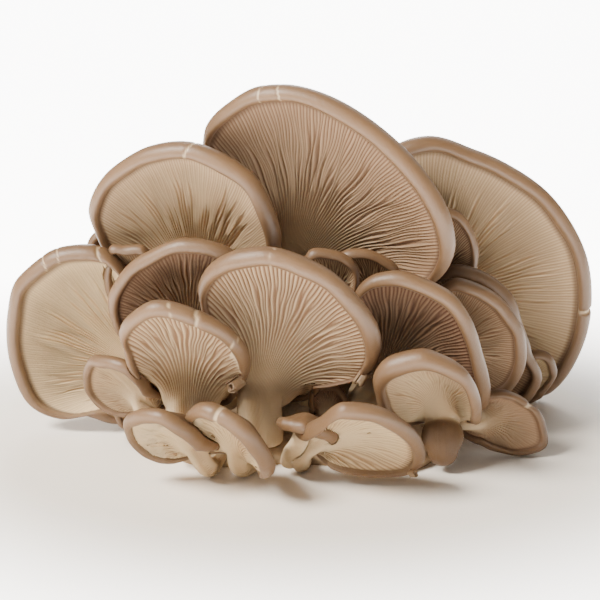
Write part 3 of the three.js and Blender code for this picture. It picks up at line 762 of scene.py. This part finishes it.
def grow(name, size, **own):
    """Grows one mushroom, pressed back where the earlier ones already stand, in its place.

    What it adds to its size: the hub where its stem meets its cap, the way its gill side faces (turn to
    the right, tilt upwards, lean of the long side to the right), the root of its stem in the base, the
    reach of its margin from the hub at angles round the cap, and what differs from its size.
    """
    form = {**size, **own}
    seed = sum(name.encode())
    rows, marks = mushroom_rows(form, seed)
    mushroom, where = ball_of_rows("mushroom_" + name, rows)
    for mark, values in zip(MARKS, np.moveaxis(marks, 2, 0)):
        write_mark(mushroom.data, mark, values[where])
    write_mark(mushroom.data, "grown", 1)
    rooms = []
    for place, axis, radius, width in form["flaps"]:
        flap, room = rolled_flap(place, axis, radius, width)
        join_solid(mushroom, flap, "UNION")
        bpy.data.objects.remove(flap)
        rooms.append(room)
    before = mushroom.data.copy()
    if held is not None:
        join_solid(mushroom, held, "DIFFERENCE")
        mushroom = keep_largest(mushroom)
    mark_cut_points(mushroom.data, before)
    bpy.data.meshes.remove(before)

    room_rows, _ = mushroom_rows({**form, **ROOM}, seed, filled=True)
    own_room, _ = ball_of_rows("room_" + name, swollen(room_rows, PRESS))
    for room in (own_room, *rooms):
        hold(room)

    bpy.ops.object.select_all(action="DESELECT")
    mushroom.select_set(True)
    bpy.context.view_layer.objects.active = mushroom
    bpy.ops.object.shade_smooth()
    mushroom.data.materials.clear()
    mushroom.data.materials.append(mushroom_flesh(name, form["tone"], form["soft"]))
    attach(mushroom, "root")
    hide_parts("cap_" + name)


grow(
    "torn_front", SMALL,
    hub=(-39.5, -54, 16.6), face=(-30, -32, -35), root=(-30, -34, 4.5), foot=3, roll=3.2, flesh=8,
    slope=72, upwards=-0.9, clear=1.3, heel=-5, ragged=(-80, 30, 0.35), soft=0.35, tone=1, wave=0.4,
    gill_height=1.4,
    reach=((-90, 12), (-60, 17), (-30, 22), (0, 25), (30, 25), (60, 20), (90, 14), (180, 8)),
)

grow(
    "folded_front", SMALL,
    hub=(-23, -55, 15), face=(-38, -28, 10), root=(-16, -34, 4.5), foot=3.4, roll=3.6, flesh=8,
    slope=80, upwards=-0.6, clear=1.3, heel=-5, cracks=((8, 2, 0.9),), ragged=(-60, 60, 0.12),
    soft=0.35, tone=1, wave=0.4,
    reach=(
        (-90, 12), (-50, 19), (-25, 25), (0, 30), (20, 30), (45, 27), (70, 23), (95, 18), (135, 12),
        (180, 8), (240, 9),
    ),
)

grow(
    "button_front", SMALL,
    hub=(2, -54, 24), face=(-20, -58, 50), root=(-4, -42, 4.5), roll=2.6, curl=100, flesh=4, collar=3,
    foot=3.2, neck=4, slope=15, cup=3, heel=0, ragged=(-90, 90, 0.4), soft=0.4, tone=1,
    reach=((-90, 10), (0, 9), (60, 12), (90, 13), (150, 10), (240, 10)),
)

grow(
    "fan_front", SMALL,
    hub=(7, -52, 16.5), face=(0, -36, 62), root=(0, -33, 4), foot=3.4, roll=3.4, slope=72, upwards=-0.9,
    clear=1.3, heel=-7, flaps=(((40.5, -58.5, 6.5), (0.7, -0.6, 0.3), 1.6, 2.6),), gills=60, soft=0.3,
    tone=1,
    reach=(
        (-90, 14), (-62, 22), (-47, 33), (-25, 36), (0, 37), (23, 38), (38, 36), (50, 26), (62, 16),
        (90, 10), (180, 8), (230, 10),
    ),
)

# ---- Second row: the centre mushroom with its long curled cap, two middling ones beside it, and small
# ones tucked in low between the stems. Their caps lean outwards over the front row.
MEDIUM = {
    **SMALL, "gills": 76, "stem_rows": 10, "gill_rows": 20, "rim_rows": 14, "top_rows": 10,
    "gill_height": 1.3, "roll": 3.6, "curl": 118, "flesh": 8, "collar": 6, "neck": 8, "foot": 6,
    "slope": 60, "clear": 2.6, "cup": 12, "heel": -9,
}
LARGE = {
    **MEDIUM, "gills": 120, "stem_rows": 12, "gill_rows": 24, "rim_rows": 16, "top_rows": 12,
    "gill_height": 1.6, "roll": 4.4, "flesh": 10, "collar": 8.5, "neck": 11, "foot": 8.5, "slope": 62,
    "cup": 16, "heel": -11,
}

grow(
    "low_right", MEDIUM,
    hub=(52, -33, 23), face=(-8, -22, -5), root=(52.5, -39, 7.5), foot=5.5, collar=5.5, neck=5,
    slope=66, belly=2, tip=0.95, fatness=((-60, 1.25), (-15, 1.35), (30, 1), (90, 0.9), (200, 1)),
    stem_skin=1, tone=0.65, soft=0.5,
    reach=(
        (-80, 19), (-52, 27), (-38, 33.5), (-22, 36.5), (-5, 36.5), (8, 34), (22, 30), (35, 25.5),
        (50, 21), (69, 17), (90, 13), (120, 12), (180, 12), (230, 13),
    ),
)

grow(
    "left_front", MEDIUM,
    hub=(-41, -28, 31), face=(-10, -22, 0), root=(-41, -34, 9), foot=8, collar=8, neck=10, fall=1,
    flaps=(((-23, -41.8, 35), (0.65, 0.65, 0.3), 2.8, 6),),
    fatness=((52, 1), (66, 0.55), (100, 0.6), (140, 1)),
    cracks=((0, 0.8, 0.15), (13, 1.6, 0.9), (36, 0.9, 0.35)), ragged=(34, 66, 0.1), tone=0.7,
    gills=52,
    reach=(
        (-80, 17), (-55, 24), (-39, 31), (-33, 37), (-20, 43), (-6, 47), (7, 45), (22, 42), (38, 38),
        (54, 32), (71, 25), (90, 19), (120, 13), (180, 10), (240, 12),
    ),
)

grow(
    "centre", LARGE,
    hub=(-11, -22, 35), face=(-12, -12, 18), root=(-14, -29, 9), foot=7.5, collar=8, fall=1,
    flaps=(
        ((22.5, -41.5, 37), (0.55, 0.2, 0.8), 2.3, 5),
        ((26, -40, 37.5), (0.3, -0.9, 0.2), 1.5, 2.4),
    ),
    fatness=((56, 1), (70, 0.5), (105, 0.5), (140, 1)), gills=68, cracks=((-10, 0.6, 0.2),), tone=0.5,
    reach=(
        (-90, 17), (-70, 25), (-54, 37), (-47, 45), (-35, 52), (-23, 56), (-8, 58), (7, 57), (23, 54),
        (40, 51), (54, 46), (66, 38), (75, 28), (90, 19), (130, 12), (180, 11), (230, 12),
    ),
)

grow(
    "left_low", SMALL,
    hub=(-60, -21, 23), face=(-40, -24, -45), root=(-48, -20, 7), flesh=7, soft=0.35, tone=0.6,
    gills=60,
    reach=(
        (-70, 14), (-30, 20), (0, 22), (30, 24), (60, 24), (80, 20), (100, 13), (130, 9), (180, 8),
        (240, 9),
    ),
)

grow(
    "dark_bud", SMALL,
    hub=(11, -18, 18), face=(0, -14, 0), root=(8, -20, 7), roll=2, collar=3, foot=3, neck=4, cup=3,
    heel=-5, tone=0,
    reach=((-90, 6), (-50, 10), (-26, 13), (8, 12), (42, 9), (90, 6), (180, 5)),
)

grow(
    "right_low", SMALL,
    hub=(69, -22, 15), face=(12, 8, 92), root=(46, -10, 7), cup=3, cracks=((-17, 1.6, 0.6),), tone=0.15,
    soft=0.65,
    reach=(
        (-90, 10), (-45, 14), (-22, 17), (-5, 21), (10, 24), (24, 26), (40, 22), (60, 16), (80, 12),
        (110, 9), (180, 8), (230, 9),
    ),
)

# ---- Third row: four middling caps that face the front between the second row and the tall ones, and
# three young caps of which little more than the top edge stands free.
grow(
    "left_mid", MEDIUM,
    hub=(-42, -4, 44), face=(-12, -12, -20), root=(-28, -6, 9), tone=0.1, gills=64,
    reach=(
        (-110, 15), (-85, 19), (-72, 23), (-52, 28), (-33, 33), (-14, 36), (7, 40), (28, 45), (45, 46),
        (60, 43), (80, 32), (100, 22), (140, 12), (180, 10), (220, 12),
    ),
)

grow(
    "left_sliver", SMALL,
    hub=(-57, 9, 53.5), face=(-10, -8, -25), root=(-36, 8, 8), flesh=4, cup=5, heel=-5,
    reach=((-110, 9), (-60, 16), (-16, 23), (-6, 26), (5, 24), (21, 23), (40, 16), (90, 10), (180, 7)),
)

grow(
    "mid_bud", SMALL,
    hub=(13, -7, 57.5), face=(0, -6, 10), root=(2, -6, 9), flesh=4, cup=5, heel=-5,
    reach=((-90, 12), (-44, 21), (-32, 23), (-13, 21), (7, 19), (26, 15), (45, 11), (90, 8), (180, 7)),
)

grow(
    "right_mid", MEDIUM,
    hub=(32, -6, 29), face=(-14, -14, 28), root=(20, -12, 9), tone=0, gills=68,
    reach=(
        (-100, 16), (-65, 24), (-45, 32), (-35, 43), (-26, 48), (-12, 51), (3, 51), (20, 48), (42, 43),
        (64, 42), (85, 40), (98, 33), (120, 20), (150, 13), (180, 11), (210, 13),
    ),
)

grow(
    "mid_sliver", SMALL,
    hub=(28, 0, 55), face=(0, -6, 10), root=(12, 2, 9), flesh=4, cup=5, heel=-5,
    reach=((-90, 10), (-60, 15), (-39, 24), (-24, 23), (-4, 20), (21, 17), (60, 12), (180, 7)),
)

grow(
    "right", MEDIUM,
    hub=(54, 9, 32.5), face=(0, -6, 60), root=(37, 5, 9), tone=0.25, soft=0.25,
    reach=(
        (-90, 16), (-66, 28), (-50, 34), (-29, 34), (10, 33), (33, 32), (54, 30), (70, 25), (90, 18),
        (120, 12), (180, 9), (230, 11),
    ),
)

# ---- Fourth row: the large caps at the left and at the top, the narrow crescent and the caps tucked in
# behind the right side, and two small lobes close to the ground.
grow(
    "far_left", LARGE,
    hub=(-58, 15, 19), face=(-10, 0, -55), root=(-34, 8, 6), foot=7, collar=7, neck=9, slope=75,
    upwards=0.2, tone=1, soft=0.65, cracks=((18, 0.8, 0.4), (24, 0.7, 0.3), (40, 1, 0.5)),
    reach=(
        (-110, 17), (-85, 21), (-64, 26), (-58, 36), (-44, 47), (-29, 52), (-6, 60), (7, 64), (20, 64),
        (32, 61), (41, 57), (50, 46), (62, 36), (80, 26), (110, 18), (150, 16), (180, 16), (210, 16),
    ),
)

grow(
    "upper_left", LARGE,
    hub=(-40, 20, 56.5), face=(-22, -8, -20), root=(-22, 10, 10), tone=0.62, soft=0.35,
    cracks=((29, 1.1, 0.4),),
    reach=(
        (-110, 18), (-80, 21), (-54, 28), (-40, 36), (-33, 42), (-26, 49), (-13, 54), (0, 57), (14, 61),
        (32, 64), (51, 62), (65, 56), (81, 47), (100, 32), (130, 18), (160, 14), (180, 13), (210, 14),
    ),
)

grow(
    "top", LARGE,
    hub=(-3, 26, 59.5), face=(-22, -8, 10), root=(-3, 12, 10), tone=0.22, soft=0.15, wave=0.4,
    cracks=((-10, 0.6, 0.25), (-5, 0.8, 0.3)),
    reach=(
        (-110, 18), (-80, 26), (-55, 44), (-36, 61), (-31, 68), (-21, 74.5), (-11, 80), (0, 82),
        (17, 81), (37, 80), (51, 79), (61, 76), (69, 70), (78, 58), (90, 42), (110, 27), (130, 19),
        (160, 15), (180, 14), (210, 15),
    ),
)

grow(
    "crescent", SMALL,
    hub=(49, 25, 53.5), face=(0, -4, 60), root=(20, 18, 9), flesh=5, cup=4, neck=3, heel=-5, tone=0.3,
    gills=80,
    reach=(
        (-155, 15), (-125, 22), (-95, 29), (-75, 33), (-59, 34), (-42, 34), (-27, 31), (-9, 26),
        (5, 22), (35, 16), (75, 11), (145, 10), (180, 12),
    ),
)

grow(
    "right_behind", MEDIUM,
    hub=(55, 24, 29.5), face=(0, -4, 50), root=(36, 14, 9), flesh=10, tone=0.3, soft=0.3,
    reach=(
        (-90, 14), (-64, 26), (-50, 36), (-38, 38), (-7, 37), (17, 34), (37, 35), (56, 41), (68, 41),
        (80, 34), (100, 22), (130, 13), (180, 9), (230, 10),
    ),
)

grow(
    "foot_lobe", SMALL,
    hub=(-61, -4, 12), face=(0, -6, -60), root=(-46, -6, 6), roll=2, collar=3, neck=4, cup=3, heel=-5,
    reach=((-110, 8), (-65, 10), (-22, 10), (1, 12), (40, 12), (90, 8), (180, 6)),
)

grow(
    "pale_bud", SMALL,
    hub=(88, 28, 12.5), face=(5, -4, 60), root=(52, 18, 7), cup=4, tone=1, soft=0.6,
    reach=((-100, 8), (-50, 15), (-25, 17), (3, 15), (25, 12), (50, 9), (100, 7), (180, 6)),
)

# ---- Back row: the large cap on the far right, the broad one behind the top cap, and a small one at the
# back on the left. Their tops make most of the cluster's back.
grow(
    "top_behind", LARGE,
    hub=(11, 55, 60.5), face=(0, -2, 15), root=(5, 27, 10),
    reach=(
        (-90, 32), (-50, 54), (-39, 62), (-26, 65), (-7, 61), (8, 55), (22, 43), (50, 28), (90, 19),
        (130, 15), (180, 13), (230, 16),
    ),
)

grow(
    "far_right", LARGE,
    hub=(50, 46, 39), face=(8, 0, 45), root=(27, 27, 10), flesh=13, tone=0.62, soft=0.5,
    cracks=((44, 1.8, 1.2),),
    reach=(
        (-95, 34), (-75, 53), (-60, 70), (-47, 73), (-31, 69), (-8, 67), (20, 66.5), (44, 65.5),
        (68, 64), (79, 62), (88, 56), (100, 44), (120, 31), (150, 19), (180, 14), (210, 16), (240, 23),
    ),
)

grow(
    "back_left", SMALL,
    hub=(-67, 36, 56.5), face=(-10, 0, -50), root=(-32, 22, 9), foot=4.6,
    reach=((-110, 8), (-60, 12), (-23, 16), (-8, 19), (14, 21), (60, 16), (110, 8), (180, 7)),
)

# ---- Base: the shared butt that all the stems grew out of, of pale spongy flesh in upright fibres. It
# was cut off its block with a knife, so its underside is flat, and the cluster stands on it.
BUTT_MIDDLE = (-2, -6)
BUTT_TOP = 18  # height of its middle
BUTT_BULGE = 4  # how far its side bulges
BUTT_SHOULDER = 0.5  # share of the reach that is left where the side has turned over
BUTT_FIBRE = 0.5  # height of the fibres
# The height at which its side turns over, and its reach over the cut face, at degrees round it.
BUTT_HEIGHT = ((0, 14), (60, 18), (150, 18), (200, 14), (240, 9), (285, 9), (320, 11))
BUTT_REACH = (
    (0, 50), (30, 46), (60, 40), (90, 38), (120, 40), (150, 44), (180, 48), (205, 48), (220, 44),
    (240, 30), (270, 25), (300, 32), (320, 54), (335, 56),
)
BUTT_COLUMNS, BUTT_SIDE_ROWS, BUTT_FLOOR_ROWS = 144, 18, 4
BUTT_DARK, BUTT_PALE = (0.34, 0.23, 0.13), (0.50, 0.37, 0.23)
BUTT_STAIN = (0.20, 0.11, 0.055)
around = np.arange(BUTT_COLUMNS) * 360 / BUTT_COLUMNS
butt_reach = read_round(BUTT_REACH, around)
butt_height = read_round(BUTT_HEIGHT, around)
fibres = BUTT_FIBRE * waver(5, around, (17, 29, 41, 53))


def butt_ring(share, height, proud):
    """A ring of the base at a share of its reach and of its height."""
    reach = share * (butt_reach + proud)
    x = BUTT_MIDDLE[0] + reach * np.cos(around * DEGREE)
    y = BUTT_MIDDLE[1] + reach * np.sin(around * DEGREE)
    return np.stack([x, y, height * butt_height], 1)


butt_rows = [butt_ring(row / BUTT_FLOOR_ROWS, 0, 0) for row in range(BUTT_FLOOR_ROWS + 1)]
for row in range(1, BUTT_SIDE_ROWS + 1):
    lean = 0.5 * math.pi * row / BUTT_SIDE_ROWS
    proud = BUTT_BULGE * math.sin(2 * lean) + fibres * math.sin(lean)
    butt_rows.append(butt_ring(mix(1, BUTT_SHOULDER, 1 - math.cos(lean)), math.sin(lean), proud))
shoulder, top = butt_rows[-1], np.broadcast_to((*BUTT_MIDDLE, BUTT_TOP), (BUTT_COLUMNS, 3))
butt_rows += [mix(shoulder, top, 0.5), top]
butt, _ = ball_of_rows("butt_base", np.array(butt_rows))
join_solid(butt, held, "DIFFERENCE")
for spare in (held, *plain_balls.values()):
    bpy.data.objects.remove(spare)
butt = keep_largest(butt)
bpy.ops.object.select_all(action="DESELECT")
butt.select_set(True)
bpy.context.view_layer.objects.active = butt
bpy.ops.object.shade_smooth_by_angle(angle=math.radians(50))
spongy = Finish("spongy_butt")
where = spongy.place()
upright = spongy.node("ShaderNodeMapping", {}, {"Vector": where, "Scale": (1, 1, 0.2)})
strand = spongy.noise(upright, 420, 4, 0.6)
pale = spongy.blend(strand, BUTT_DARK, BUTT_PALE)
stain = (spongy.noise(where, 60) - 0.45).kept() * 1.6
colour = spongy.blend(stain, pale, BUTT_STAIN)
bump = spongy.node("ShaderNodeBump", {}, {"Height": strand, "Strength": 0.6, "Distance": 0.001})
butt.data.materials.clear()
butt.data.materials.append(
    spongy.surface({"Base Color": colour, "Roughness": 0.85, "Specular IOR Level": 0.25, "Normal": bump})
)
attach(butt, "root")
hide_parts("butt")
